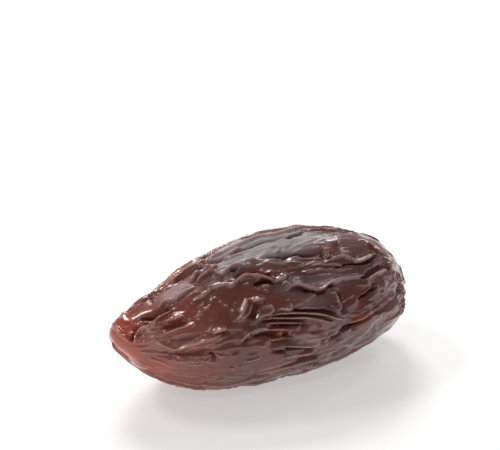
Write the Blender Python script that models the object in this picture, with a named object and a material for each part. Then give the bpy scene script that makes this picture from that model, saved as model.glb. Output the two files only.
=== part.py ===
# A date, the fruit: one wrinkled solid lying on its side, without its cap or stalk.
# Metres. +X runs from the pointed nose to the blunt stem end, +Z is up, and the origin
# is on the surface that the fruit rests on, under the middle of its box.

import math
import random

import bmesh
import bpy
import numpy as np
from mathutils import Matrix

MM = 0.001

# Driving dimensions of the plain body. Its skin lies a little inside it, and the crests of
# the folds stand out to it and just past it.
LENGTH = 55.6 * MM
WIDTH = 26.6 * MM
HEIGHT = 25.6 * MM
SKIN_SINK = 0.40 * MM
FOLD_STRENGTH = 1.35      # share of the heights and depths listed below
FULLEST = 0.586           # where the girth is largest, as a share of the length from the nose
NOSE_POWER = 0.59         # 0.5 is a round end and 1 a pointed one
STEM_POWER = 0.37
BOW = 0.5 * MM            # how far the middle of the back stands above its ends
NOSE_LIFT = 1.8 * MM      # how far the tip bends up, and the stem end down, over the end's share
STEM_DROP = 1.0 * MM
BEND_SHARE = 0.22
MARK = 0.7 * MM           # how far in from the plain body's tip the folds' places are measured
NOSE_DIP = math.radians(1.5)

# The spot that the fruit rests on, and how far up its folds are pressed flat
PRESS_DEPTH = 0.65 * MM
PRESSED_ARC = 25.0        # degrees to each side of straight down
PRESSED_SHARE = 0.3

# The round scar that the stalk leaves, sunk in the stem end, with puckers drawn in towards
# it, and the dimple in the nose
SCAR_RADIUS = 2.9 * MM
SCAR_DEPTH = 1.3 * MM
SCAR_RIM = 0.45 * MM
PUCKER_COUNT = 11
PUCKER_HEIGHT = 0.26 * MM
PUCKER_RING = 4.8 * MM    # how far from the axis they are tallest, and how far they spread
PUCKER_SPREAD = (1.3 * MM, 2.8 * MM)    # inwards and outwards
PUCKER_UNEVENNESS = 1.6
DIMPLE_RADIUS = 1.2 * MM
DIMPLE_DEPTH = 0.5 * MM

# Mesh fineness: the folds run along the fruit, so it is finer around than along
AROUND = 96
ALONG = 60
END_CROWDING = 0.3        # 0 spaces the rings evenly along the side, more brings them to the ends
SMOOTHING = 0.4

# Soft swellings: height, half length, half breadth, and the middle's place. All in mm,
# but the place's second number is degrees around from the top, towards -Y, and the first
# is measured along the fruit from the mark at the nose.
SWELLINGS = {
    "crown": (0.55, 8.0, 5.5, (31.0, 0)),
    "left_edge": (-1.40, 5.0, 5.0, (10.6, -40)),
    "nose_back": (-0.70, 2.4, 2.6, (4.0, -48)),
    "cheek_panel": (0.30, 3.4, 2.6, (10.0, 8)),
    "middle_panel": (-0.20, 4.0, 2.4, (32.0, 64)),
    "pink_panel": (0.40, 3.4, 1.8, (30.0, 94)),
    "flank": (0.35, 8.0, 4.5, (15.0, 84)),
    "shoulder": (0.35, 4.0, 3.4, (42.0, 24)),
    "end_panel": (0.35, 3.4, 4.4, (48.0, 66)),
    "back_upper": (-0.45, 8.0, 4.0, (21.0, -44)),
    "back_lower": (0.45, 9.0, 4.5, (34.0, -80)),
    "chin": (-1.15, 2.6, 3.0, (0.6, 160)),
    "low_left": (0.45, 6.0, 4.5, (14.0, 140)),
    "valley": (-0.45, 1.3, 4.4, (17.8, 73)),
    "low_corner": (0.33, 3.6, 4.5, (50.5, 108)),
    "end_front": (-0.70, 2.6, 3.6, (52.5, 66)),
    "top_corner": (0.30, 2.8, 4.0, (51.6, -2)),
}

# Sharp crests: height and half width in mm, then points as (mm from the mark, degrees around)
CRESTS = {
    "nose_lip": (0.45, 1.5, [(3.6, -47), (2.7, -20), (2.7, 0), (3.2, 12), (3.9, 18)]),
    "nose_rim": (0.30, 1.0, [(0.9, -40), (0.9, 20), (1.3, 46), (1.8, 54)]),
    "nose_cheek": (0.55, 1.3, [(2.3, 60), (2.7, 44), (3.8, 32), (4.6, 32), (5.1, 44), (5.3, 54)]),
    "nose_bridge": (0.40, 1.4, [(4.0, -45), (5.9, -43), (7.3, -24)]),
    "pink_ridge": (0.50, 1.6, [(5.3, 48), (6.2, 40), (7.3, 36), (8.3, 34), (9.1, 32)]),
    "left_edge": (0.50, 2.2, [(7.9, -8), (10.5, -16), (13.8, -16), (15.8, -22), (19.9, -18)]),
    "left_middle": (0.35, 1.6, [(7.5, 43), (9.0, 43), (10.6, 45)]),
    "pale_ridge": (0.45, 1.8, [(6.2, 55), (8.2, 54), (10.2, 54), (13.0, 52)]),
    "low_wave": (0.50, 2.0, [(5.6, 58), (6.7, 72), (8.6, 77), (11.7, 74), (14.0, 72), (17.0, 66)]),
    "low_hem": (0.45, 2.0, [(7.5, 92), (10.0, 93), (12.8, 94), (15.0, 93)]),
    "crown_rim": (0.55, 1.8, [(18.0, 3), (19.6, -14), (21.9, -22), (24.4, -20)]),
    "crown_rake": (0.40, 1.3, [(19.8, 6), (21.2, 2), (23.0, -3), (24.6, -4)]),
    "crown_fold": (0.55, 1.7, [(13.7, 17), (15.1, 15), (16.6, 12), (18.0, 12), (19.6, 18), (21.6, 15)]),
    "long_wave": (0.55, 1.7, [(13.0, 33), (16.0, 30), (19.0, 32), (22.1, 28), (23.9, 32), (26.2, 38)]),
    "left_vee": (0.50, 1.5, [(18.1, 62), (19.6, 53), (20.7, 46), (21.2, 38)]),
    "right_vee": (0.45, 1.3, [(19.9, 60), (21.0, 54), (21.6, 48), (23.2, 49)]),
    "zigzag": (0.50, 1.5, [(20.3, 66), (22.1, 64), (23.5, 62), (23.8, 58), (26.0, 62)]),
    "curl": (0.45, 1.6, [(18.3, 84), (18.8, 76), (20.2, 72), (23.2, 74), (25.6, 78)]),
    "crown_light": (0.45, 2.0, [(31.0, -14), (34.0, -19), (38.3, -22), (41.0, -12)]),
    "step": (0.45, 1.4, [(40.4, 4), (39.8, 16), (39.0, 24)]),
    "shoulder_crest": (0.55, 1.6, [(34.0, 31), (38.1, 32), (40.8, 35), (43.0, 37), (46.6, 28), (49.8, 25)]),
    "fine_line": (0.35, 1.2, [(27.0, 27), (31.1, 34), (36.0, 40), (41.1, 43), (44.8, 38)]),
    "blister_crest": (0.45, 1.5, [(27.1, 38), (29.2, 45), (31.6, 51), (33.4, 53)]),
    "grey_ridge": (0.45, 1.5, [(34.6, 50), (38.1, 50), (41.1, 53), (44.4, 50), (48.0, 46)]),
    "panel_side": (0.45, 1.4, [(35.7, 58), (35.9, 67), (35.8, 75)]),
    "contour_a": (0.50, 1.3, [(22.1, 64), (26.0, 65), (30.2, 70), (34.0, 77), (37.5, 84)]),
    "contour_b": (0.45, 1.2, [(22.9, 69), (26.5, 72), (30.1, 76), (33.0, 81), (35.5, 86)]),
    "contour_c": (0.45, 1.5, [(22.7, 90), (25.8, 92), (29.5, 97), (31.4, 97), (33.5, 93)]),
    "contour_d": (0.45, 1.6, [(24.0, 105), (28.1, 106), (32.8, 107), (36.5, 109)]),
    "low_edge": (0.45, 2.0, [(19.0, 110), (24.0, 117), (28.7, 119), (32.5, 120), (36.0, 123)]),
    "side_ridge": (0.60, 1.7, [(38.2, 87), (40.9, 86), (43.7, 83), (46.5, 80), (49.4, 74)]),
    "end_edge": (0.50, 2.0, [(44.0, 112), (47.5, 108), (50.4, 98), (51.6, 86), (52.2, 68), (51.6, 46)]),
    "end_box": (0.45, 1.5, [(46.6, 26), (48.2, 30), (48.3, 50), (49.6, 57), (50.9, 62)]),
    "end_soft": (0.30, 1.8, [(46.6, 54), (46.3, 64), (45.6, 74)]),
    "flank_edge": (0.40, 1.5, [(9.0, 96), (11.1, 96), (14.0, 97)]),
    "low_hook": (0.40, 1.4, [(18.4, 101), (20.4, 101), (22.2, 100)]),
    "fine_ridge": (0.40, 1.4, [(34.2, 50), (38.7, 52), (43.4, 52), (48.0, 45)]),
}

# Creases: depth and half width in mm, then points as above
CREASES = {
    "nose_fold": (0.85, 1.5, [(4.4, 27), (3.6, 31), (2.7, 37), (1.6, 47)]),
    "red_groove": (0.55, 1.5, [(4.8, 19), (5.7, 27), (6.9, 30), (7.8, 27), (9.0, 22)]),
    "left_groove": (0.50, 1.3, [(5.8, 49), (8.0, 49), (10.5, 49), (13.0, 44)]),
    "loop_groove": (0.45, 1.8, [(6.3, 62), (8.6, 66), (11.5, 66), (14.0, 62)]),
    "flank_groove": (0.40, 2.2, [(6.3, 84), (9.0, 86), (13.0, 86), (17.0, 84)]),
    "crown_groove": (0.60, 1.5, [(14.0, 14), (16.4, 9), (18.0, 7), (19.0, 8)]),
    "deep_red": (0.80, 1.6, [(20.2, 22), (21.8, 22), (23.2, 26), (25.1, 31)]),
    "crown_edge": (0.70, 1.8, [(25.0, 19), (29.1, 21), (32.5, 20), (36.0, 23), (38.6, 28)]),
    "crown_back": (0.50, 2.0, [(26.5, -2), (31.4, -9), (35.5, -7), (38.5, 2)]),
    "vee": (0.55, 1.2, [(19.0, 62), (20.4, 54), (21.0, 48)]),
    "blister_edge": (0.65, 1.4, [(27.0, 45), (29.5, 49), (31.5, 54), (33.5, 58), (34.6, 54), (37.5, 53)]),
    "panel_edge": (0.55, 1.4, [(36.7, 58), (36.6, 66), (36.3, 76)]),
    "panel_foot": (0.45, 1.1, [(23.7, 66), (27.7, 68), (31.2, 73), (34.6, 80)]),
    "lens": (0.50, 1.4, [(20.8, 81), (23.0, 83), (26.2, 84), (28.9, 85)]),
    "low_groove_a": (0.50, 1.5, [(21.3, 96), (26.2, 99), (30.6, 102), (34.4, 103)]),
    "low_groove_b": (0.45, 1.8, [(22.0, 110), (27.5, 112), (33.2, 113)]),
    "side_crease": (0.85, 1.5, [(33.2, 97), (36.9, 93), (41.9, 90), (45.2, 87), (48.6, 82), (50.6, 78)]),
    "brown_crease": (0.55, 1.5, [(44.3, 60), (43.6, 66), (41.7, 70), (40.0, 73)]),
    "shoulder_crease": (0.60, 1.5, [(47.2, 32), (45.4, 38), (43.4, 43), (40.0, 44), (37.0, 44)]),
    "end_crease": (0.50, 1.3, [(47.4, 42), (47.8, 50), (48.6, 58)]),
    "curl_crease": (0.55, 1.4, [(18.8, 84), (20.0, 78), (22.2, 79), (24.2, 85), (27.2, 88)]),
    "corner_crease": (0.45, 1.5, [(34.5, 126), (36.0, 120), (38.2, 115)]),
}

# The sides away from the viewer carry long wavering ridges, with a groove beside each
RIDGE_SEED = 11
RIDGES_FROM = 130.0       # degrees around
RIDGES_TO = 350.0
RIDGE_COUNT = 15
RIDGE_HEIGHT = (0.40, 0.65)
RIDGE_HALF_WIDTH = (1.8, 2.5)
RIDGE_START = (1.5, 6.0)  # mm from the mark
RIDGE_END = (48.0, 54.0)
RIDGE_STEP = 4.5          # mm between a ridge's points
RIDGE_WAVER = 5.0         # degrees
GROOVE_SHARE = 0.9        # of the ridge's height

SKIN_COLOR = (0.120, 0.036, 0.026, 1.0)
SKIN_ROUGHNESS = 0.34


def girth(t):
    """Share of the full girth at a share t of the length from the nose."""
    side = np.where(t < FULLEST, FULLEST, 1.0 - FULLEST)
    power = np.where(t < FULLEST, NOSE_POWER, STEM_POWER)
    reach = np.clip((t - FULLEST) / side, -1.0, 1.0)
    return (1.0 - reach * reach) ** power


def body_point(t, around):
    """Point of the plain body, level and with its axis' middle at the origin."""
    radius = girth(t)
    arch = BOW * (1.0 - (2.0 * t - 1.0) ** 2)
    arch = arch + NOSE_LIFT * np.clip(1.0 - t / BEND_SHARE, 0.0, 1.0) ** 2
    arch = arch - STEM_DROP * np.clip(1.0 - (1.0 - t) / BEND_SHARE, 0.0, 1.0) ** 2
    x = (t - 0.5) * LENGTH
    y = -np.sin(around) * radius * WIDTH / 2.0
    z = np.cos(around) * radius * HEIGHT / 2.0 + arch
    return np.stack([x + 0.0 * y, y, z], axis=-1)


def body_normal(point):
    """Outward direction at a point of the plain body, taken from the like ellipsoid."""
    normal = point / np.array([LENGTH, WIDTH, HEIGHT]) ** 2
    return normal / np.linalg.norm(normal, axis=-1, keepdims=True)


def line_on_body(places):
    """Corner points on the plain body of a line given as (mm from mark, degrees around)."""
    places = np.array(places, dtype=float)
    return body_point((places[:, 0] * MM + MARK) / LENGTH, np.radians(places[:, 1]))


def distance_to_line(points, line):
    """Shortest distance from each point to a line of straight pieces."""
    nearest = np.full(len(points), np.inf)
    for start, end in zip(line[:-1], line[1:]):
        run = end - start
        share = np.clip((points - start) @ run / (run @ run), 0.0, 1.0)
        foot = start + share[:, None] * run
        nearest = np.minimum(nearest, np.linalg.norm(points - foot, axis=1))
    return nearest


def fold_height(points, folds):
    """Tallest fold over each point: a sharp line with hollow sides."""
    tallest = np.zeros(len(points))
    for height, half_width, places in folds:
        near = 1.0 - distance_to_line(points, line_on_body(places)) / (half_width * MM)
        tallest = np.maximum(tallest, height * MM * np.clip(near, 0.0, 1.0) ** 1.5)
    return tallest


def swelling_height(points):
    """Sum of the soft swellings over each point."""
    total = np.zeros(len(points))
    for height, half_length, half_breadth, place in SWELLINGS.values():
        middle = line_on_body([place])[0]
        gap = points - middle
        along = gap[:, 0] / (half_length * MM)
        across = np.linalg.norm(gap[:, 1:], axis=1) / (half_breadth * MM)
        total += height * MM * np.exp(-along ** 2 - across ** 2)
    return total


def far_side_folds():
    """Seeded long ridges, and their grooves, for the sides away from the viewer."""
    rng = random.Random(RIDGE_SEED)
    spacing = (RIDGES_TO - RIDGES_FROM) / (RIDGE_COUNT - 1)
    ridges = []
    grooves = []
    for index in range(RIDGE_COUNT):
        middle = RIDGES_FROM + index * spacing + rng.uniform(-0.25, 0.25) * spacing
        height = rng.uniform(*RIDGE_HEIGHT)
        half_width = rng.uniform(*RIDGE_HALF_WIDTH)
        along = rng.uniform(*RIDGE_START)
        end = rng.uniform(*RIDGE_END)
        drift = rng.uniform(-1.0, 1.0)
        places = []
        while along < end:
            drift = 0.5 * drift + rng.uniform(-1.0, 1.0)
            places.append((along, middle + drift * RIDGE_WAVER))
            along += RIDGE_STEP
        ridges.append((height, half_width, places))
        beside = [(mm, degrees + 0.5 * spacing) for mm, degrees in places]
        grooves.append((height * GROOVE_SHARE, half_width, beside))
    return ridges, grooves


def end_relief(t, around):
    """The sunken scar and its puckers at the stem end, and the dimple in the nose."""
    off_axis = girth(t) * WIDTH / 2.0
    across = off_axis / SCAR_RADIUS
    scar = -SCAR_DEPTH * np.exp(-across ** 6) + SCAR_RIM * np.exp(-((across - 1.3) / 0.25) ** 2)
    wave = np.cos(PUCKER_COUNT * around + PUCKER_UNEVENNESS * np.sin(2.0 * around + 1.0))
    wave *= 0.7 + 0.3 * np.sin(5.0 * around)
    spread = np.where(off_axis < PUCKER_RING, *PUCKER_SPREAD)
    scar += PUCKER_HEIGHT * wave * np.exp(-((off_axis - PUCKER_RING) / spread) ** 2)
    dimple = -DIMPLE_DEPTH * np.exp(-(off_axis / DIMPLE_RADIUS) ** 2)
    return np.where(t > 0.5, scar, dimple)


def relief(points, t, around):
    """Height of the skin over the plain body."""
    ridges, grooves = far_side_folds()
    crests = fold_height(points, list(CRESTS.values()) + ridges)
    creases = fold_height(points, list(CREASES.values()) + grooves)
    height = swelling_height(points) + FOLD_STRENGTH * (crests - creases)
    from_below = np.abs(np.degrees(around) % 360.0 - 180.0)
    pressed = np.exp(-(from_below / PRESSED_ARC) ** 4)
    height *= 1.0 - (1.0 - PRESSED_SHARE) * pressed
    return height + end_relief(t, around) - SKIN_SINK


def ring_share(from_nose):
    """Share of the length where the rings stand, for their shares of the way along the side."""
    t = 0.5 - 0.5 * np.cos(np.linspace(0.0, math.pi, 2001))
    side = np.hypot(np.diff(t) * LENGTH, np.diff(girth(t)) * WIDTH / 2.0)
    run = np.concatenate([[0.0], np.cumsum(side)])
    crowded = from_nose - END_CROWDING * np.sin(2.0 * math.pi * from_nose) / (2.0 * math.pi)
    return np.interp(crowded * run[-1], run, t)


def skin_points(directions):
    """Skin points for unit directions from a sphere whose poles lie along X."""
    from_nose = np.arccos(np.clip(-directions[:, 0], -1.0, 1.0)) / math.pi
    t = ring_share(from_nose)
    around = np.arctan2(-directions[:, 1], directions[:, 2])
    points = body_point(t, around)
    return points + body_normal(points) * relief(points, t, around)[:, None]


def lay_down(shape):
    """Dip the nose, press the resting spot flat and put the origin under the middle."""
    bmesh.ops.rotate(shape, verts=shape.verts, matrix=Matrix.Rotation(-NOSE_DIP, 3, "Y"))
    floor = min(vertex.co.z for vertex in shape.verts) + PRESS_DEPTH
    for vertex in shape.verts:
        vertex.co.z = max(vertex.co.z, floor)
    points = np.array([vertex.co for vertex in shape.verts])
    middle = (points.min(axis=0) + points.max(axis=0)) / 2.0
    bmesh.ops.translate(shape, verts=shape.verts, vec=(-middle[0], -middle[1], -floor))


def skin_material():
    material = bpy.data.materials.new("date_skin")
    material.use_nodes = True
    shader = material.node_tree.nodes["Principled BSDF"]
    shader.inputs["Base Color"].default_value = SKIN_COLOR
    shader.inputs["Roughness"].default_value = SKIN_ROUGHNESS
    shader.inputs["Metallic"].default_value = 0.0
    shader.inputs["Subsurface Weight"].default_value = 0.1
    shader.inputs["Subsurface Radius"].default_value = (0.003, 0.001, 0.0006)
    return material


def date_fruit():
    """The whole fruit: a sphere with its poles along X, drawn onto the skin's points."""
    mesh = bpy.data.meshes.new("date_fruit")
    shape = bmesh.new()
    bmesh.ops.create_uvsphere(shape, u_segments=AROUND, v_segments=ALONG, radius=1.0)
    sphere = np.array([vertex.co for vertex in shape.verts])
    directions = np.stack([sphere[:, 2], sphere[:, 1], -sphere[:, 0]], axis=-1)
    for vertex, point in zip(shape.verts, skin_points(directions)):
        vertex.co = point
    bmesh.ops.smooth_vert(
        shape, verts=shape.verts, factor=SMOOTHING, use_axis_x=True, use_axis_y=True, use_axis_z=True)
    lay_down(shape)
    bmesh.ops.triangulate(shape, faces=shape.faces)
    bmesh.ops.recalc_face_normals(shape, faces=shape.faces)
    shape.to_mesh(mesh)
    shape.free()
    mesh.shade_smooth()
    mesh.materials.append(skin_material())
    return bpy.data.objects.new("date_fruit", mesh)


for old in list(bpy.data.objects):
    bpy.data.objects.remove(old)
collection = bpy.data.collections.new("date_fruit")
bpy.context.scene.collection.children.link(collection)
collection.objects.link(date_fruit())
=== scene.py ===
# A dried date on a pale floor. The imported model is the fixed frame, and a finer
# wrinkled skin takes the place of its one solid. Lengths on the fruit are in mm.

import math
import random

import bmesh
import bpy
import numpy as np
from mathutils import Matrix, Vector, noise

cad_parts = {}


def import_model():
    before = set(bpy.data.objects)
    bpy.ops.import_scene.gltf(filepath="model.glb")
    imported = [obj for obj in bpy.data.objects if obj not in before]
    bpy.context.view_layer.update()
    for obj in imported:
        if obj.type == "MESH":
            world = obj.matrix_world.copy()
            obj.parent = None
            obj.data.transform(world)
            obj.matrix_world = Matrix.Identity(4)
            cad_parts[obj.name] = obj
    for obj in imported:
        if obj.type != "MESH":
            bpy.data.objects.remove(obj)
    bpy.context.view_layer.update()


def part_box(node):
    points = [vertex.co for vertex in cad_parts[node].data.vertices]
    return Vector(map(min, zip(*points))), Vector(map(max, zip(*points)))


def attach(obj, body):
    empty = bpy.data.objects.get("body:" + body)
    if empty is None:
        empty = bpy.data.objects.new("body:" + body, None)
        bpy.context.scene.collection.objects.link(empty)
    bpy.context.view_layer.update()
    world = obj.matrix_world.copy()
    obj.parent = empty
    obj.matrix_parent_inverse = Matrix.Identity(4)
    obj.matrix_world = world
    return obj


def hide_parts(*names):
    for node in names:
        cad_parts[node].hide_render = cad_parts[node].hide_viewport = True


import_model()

mm = 0.001


# The skin's grid: rings from nose to stem end, and columns round the fruit

fruit = {
    "node": "date_fruit",
    "length": 55.6,          # mm, the plain body, as the solid's
    "width": 26.6,
    "height": 25.6,
    "skinSink": 0.40,
    "fullest": 0.586,        # where the girth is largest, as a share of the length
    "nosePower": 0.59,
    "stemPower": 0.37,
    "bow": 0.5,
    "noseLift": 1.8,         # mm that the tip bends up over the first share of the length
    "tailDrop": 1.0,         # mm that the stem end bends down over the last
    "bendShare": 0.22,
    "mark": 0.7,             # mm in from the plain tip, where the folds' places are measured from
    "noseDip": 1.5,          # degrees
    "pressDepth": 0.65,      # mm that the resting spot is pressed flat
    "pressedArc": 25.0,      # degrees to each side of straight down
    "pressedShare": 0.3,
    "columns": 372,
    "rings": 268,
    "blurPasses": 60,        # for the level that the relief is measured from
    "leastCell": 0.6,        # a cell's breadth as a share of its length, as far as draping goes
    "samples": 4001,         # of the side, to lay the rings evenly
    "crowding": 0.46,        # how much closer the columns stand where most of the fine folds are
    "crowdedAround": 42.0,
}


def girth(t):
    side = np.where(t < fruit["fullest"], fruit["fullest"], 1 - fruit["fullest"])
    power = np.where(t < fruit["fullest"], fruit["nosePower"], fruit["stemPower"])
    reach = np.clip((t - fruit["fullest"]) / side, -1, 1)
    return (1 - reach * reach) ** power


def bodyPoint(t, around):          # mm, level, with the axis' middle at the origin
    radius = girth(t)
    arch = fruit["bow"] * (1 - (2 * t - 1) ** 2)
    arch = arch + fruit["noseLift"] * np.clip(1 - t / fruit["bendShare"], 0, 1) ** 2
    arch = arch - fruit["tailDrop"] * np.clip(1 - (1 - t) / fruit["bendShare"], 0, 1) ** 2
    y = -np.sin(around) * radius * fruit["width"] / 2
    z = np.cos(around) * radius * fruit["height"] / 2 + arch
    return np.stack([(t - 0.5) * fruit["length"] + 0 * y, y, z], axis=-1)


def ringShares():                  # the rings' places as shares of the length, evenly along the side
    t = 0.5 - 0.5 * np.cos(np.linspace(0, math.pi, fruit["samples"]))
    side = np.hypot(np.diff(t) * fruit["length"], np.diff(girth(t)) * fruit["width"] / 2)
    run = np.concatenate([[0], np.cumsum(side)])
    return np.interp(np.linspace(0, run[-1], fruit["rings"] + 1), run, t)


def columnAngle(column):           # a column's place in radians round the fruit
    even = column / fruit["columns"] * 2 * math.pi
    return even - fruit["crowding"] * np.sin(even - math.radians(fruit["crowdedAround"]))


class Grid:                        # the plain body's points, and the size of its cells
    def __init__(self):
        self.rings = np.arange(fruit["rings"] + 1)
        self.share = ringShares()
        self.around = columnAngle(np.arange(fruit["columns"]))
        t, a = np.meshgrid(self.share, self.around, indexing="ij")
        self.t = t
        self.a = a
        self.points = bodyPoint(t, a)
        size = np.array([fruit["length"], fruit["width"], fruit["height"]])
        normal = self.points / size ** 2
        self.normals = normal / np.linalg.norm(normal, axis=-1, keepdims=True)
        stepAlong = np.linalg.norm(np.diff(self.points[:, 0], axis=0), axis=-1)
        self.cellLong = np.interp(self.rings, self.rings[:-1] + 0.5, stepAlong)[:, None]
        turn = (np.roll(self.around, -1) - np.roll(self.around, 1)) % (2 * math.pi) / 2
        stepAround = girth(self.share)[:, None] * turn[None, :] * fruit["width"] / 2
        self.cellWide = np.maximum(stepAround, fruit["leastCell"] * self.cellLong)
        along, around = folds["downwards"]
        ahead = np.array([1.0, 0, 0]) - self.normals * self.normals[..., :1]
        ahead /= np.linalg.norm(ahead, axis=-1, keepdims=True)
        self.downwards = along * ahead + around * np.cross(ahead, self.normals)

    def placeOf(self, along, around):          # mm and degrees to ring and column numbers
        ring = np.interp((along + fruit["mark"]) / fruit["length"], self.share, self.rings)
        columns = np.arange(-fruit["columns"], 2 * fruit["columns"] + 1)
        return ring, np.interp(np.radians(around % 360), columnAngle(columns), columns)

    def around4(self, z):                      # the four neighbours of each cell
        up = np.vstack([z[1:2], z[:-1]])
        down = np.vstack([z[1:], z[-2:-1]])
        return up, down, np.roll(z, 1, axis=1), np.roll(z, -1, axis=1)

    def blur(self, z, passes):
        for _ in range(passes):
            up, down, left, right = self.around4(z)
            z = 0.5 * z + 0.125 * (up + down + left + right)
            z[0] = z[0].mean()
            z[-1] = z[-1].mean()
        return z


# Folds. Each line is a height, and its points as the length from the nose and the
# degrees round from the top, towards the viewer. The skin is drawn over the crests
# like cloth over wires, and pulled down along the creases.

folds = {
    "broad": 1.05,           # share of a line's height that the skin takes softly
    "creaseBroad": 1.0,
    "reach": 1.2,            # mm over which the skin falls back beside the line
    "rounds": 260,
    "pull": 40.0,
    "edge": 0.55,            # share that stands as a thin edge on top
    "edgeWidth": 0.23,       # mm to each side
    "under": 0.22,           # share that the skin sinks just below each edge, and how far below
    "underStep": 0.50,
    "cut": 0.50,             # share that a crease sinks as a thin cut
    "cutWidth": 0.30,
    "fallOff": 1.4,
    "margin": 3.0,           # widths to each side of a line beyond which it no longer shows
    "marginLength": 40.0,    # mm, kept under the fruit's length so that no row within it is missed
    "taper": 4,              # how late a line starts to fall towards its ends
    "mmPerDegree": 0.22,     # round the fruit, for the count of samples
    "downwards": (0.4, 0.9), # along and around, the way that is below an edge
    "step": 0.15,            # mm between samples along a line
}

grid = Grid()
print("grid laid:", grid.points.shape)

swellings = {                # height, half length, half breadth, (along, around)
    "crown": (0.55, 8.0, 5.5, (31.0, 0)),
    "leftEdge": (-1.40, 5.0, 5.0, (10.6, -40)),
    "noseBack": (-0.70, 2.4, 2.6, (4.0, -48)),
    "cheekPanel": (0.30, 3.4, 2.6, (10.0, 8)),
    "middlePanel": (-0.20, 4.0, 2.4, (32.0, 64)),
    "pinkPanel": (0.40, 3.4, 1.8, (31.0, 91)),
    "flank": (0.35, 8.0, 4.5, (15.0, 84)),
    "shoulder": (0.35, 4.0, 3.4, (42.0, 24)),
    "endPanel": (0.35, 3.4, 4.4, (48.0, 66)),
    "backUpper": (-0.45, 8.0, 4.0, (21.0, -44)),
    "backLower": (0.45, 9.0, 4.5, (34.0, -80)),
    "chin": (-1.15, 2.6, 3.0, (0.6, 160)),
    "lowLeft": (0.45, 6.0, 4.5, (14.0, 140)),
    "valley": (-0.45, 1.3, 4.4, (17.8, 73)),
    "lowCorner": (0.33, 3.6, 4.5, (50.5, 108)),
    "endFront": (-0.70, 2.6, 3.6, (52.5, 66)),
    "topCorner": (0.30, 2.8, 4.0, (51.6, -2)),
}

beads = {                    # small facets that stand up where folds meet, as above
    "veeFoot": (0.60, 1.0, 1.0, (19.4, 57.5)),
    "zigzagEnd": (0.25, 0.6, 0.5, (21.2, 65.0)),
    "blisterEnd": (0.65, 1.0, 0.8, (27.5, 61.0)),
    "panelCorner": (0.75, 1.0, 0.9, (35.9, 71.0)),
    "cheek": (0.50, 1.3, 0.8, (9.3, 41.5)),
    "facetTop": (0.35, 0.9, 0.8, (15.3, 5.0)),
    "foldTop": (0.40, 1.0, 0.8, (18.4, 8.0)),
    "hook": (0.30, 0.6, 0.6, (22.5, 16.5)),
    "crownFoot": (0.35, 1.0, 0.8, (24.4, 17.0)),
    "knot": (0.50, 0.7, 0.8, (28.5, 36.8)),
    "ridgeEnd": (0.50, 0.9, 0.8, (34.5, 52.2)),
    "ridgeStart": (0.45, 0.9, 0.9, (29.1, 43.5)),
    "step": (0.40, 1.0, 1.2, (39.9, 15.0)),
    "pinkNose": (0.35, 0.9, 1.0, (6.9, 43.0)),
    "flankLine": (0.40, 1.4, 0.6, (15.8, 65.0)),
    "underLine": (0.25, 0.7, 0.5, (13.0, 92.5)),
    "endCorner": (0.30, 0.8, 1.0, (50.2, 43.0)),
}

bloomAndSheen = {                    # where a thin dry bloom greys the skin, together with a painted sheen for the lights' reflection on panels facing up: strength and the same sizes
    "leftFacet": (1.4, 4.6, 1.8, (11.0, 11)),
    "crownTop": (1.6, 9.0, 4.4, (29.0, -3)),
    "crownFront": (1.0, 4.5, 3.0, (21.5, 2)),
    "topLobe": (1.3, 4.5, 2.4, (32.0, 7)),
    "greyRidge": (0.8, 4.0, 1.2, (36.5, 48)),
    "blister": (0.6, 3.0, 1.2, (30.0, 46)),
    "panel": (0.4, 3.4, 2.0, (32.0, 62)),
}

blushAndReflection = {                    # where the skin is painted pink: partly a pink bloom, partly painted reflection of the lights and of the bright floor, as above
    "blob": (1.6, 1.9, 2.6, (5.0, 58)),
    "flank": (0.7, 5.0, 3.2, (10.5, 69)),
    "lowLeft": (0.8, 3.6, 2.4, (9.5, 92)),
    "lowMiddle": (0.4, 7.0, 2.2, (22.0, 112)),
    "panel": (1.3, 3.0, 1.6, (31.0, 90)),
    "corner": (0.3, 3.6, 1.8, (38.5, 98)),
    "end": (0.8, 3.2, 3.4, (48.5, 62)),
    "endLow": (0.9, 3.0, 2.6, (48.5, 84)),
}

smooth = {                   # where the skin lies taut, without the nets, as above
    "leftFacet": (0.9, 5.0, 3.0, (10.5, 9)),
    "leftRim": (0.9, 8.0, 3.5, (11.0, -25)),
    "cone": (0.6, 5.0, 2.6, (12.5, 58)),
    "endCorner": (0.8, 4.0, 6.0, (51.5, 60)),
    "endTop": (0.8, 5.0, 4.0, (49.0, 0)),
    "lowFlank": (0.6, 14.0, 2.5, (22.0, 125)),
}

ripeAndGlow = {                     # where the clear flesh shows orange, partly as a painted glow of light shining through the thin skin, as above
    "chin": (0.9, 4.5, 3.5, (5.5, 112)),
    "corner": (0.9, 1.4, 1.6, (51.0, 18)),
    "side": (0.8, 2.2, 0.9, (41.0, 88)),
    "valley": (0.6, 2.6, 1.0, (23.5, 25)),
}

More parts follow.
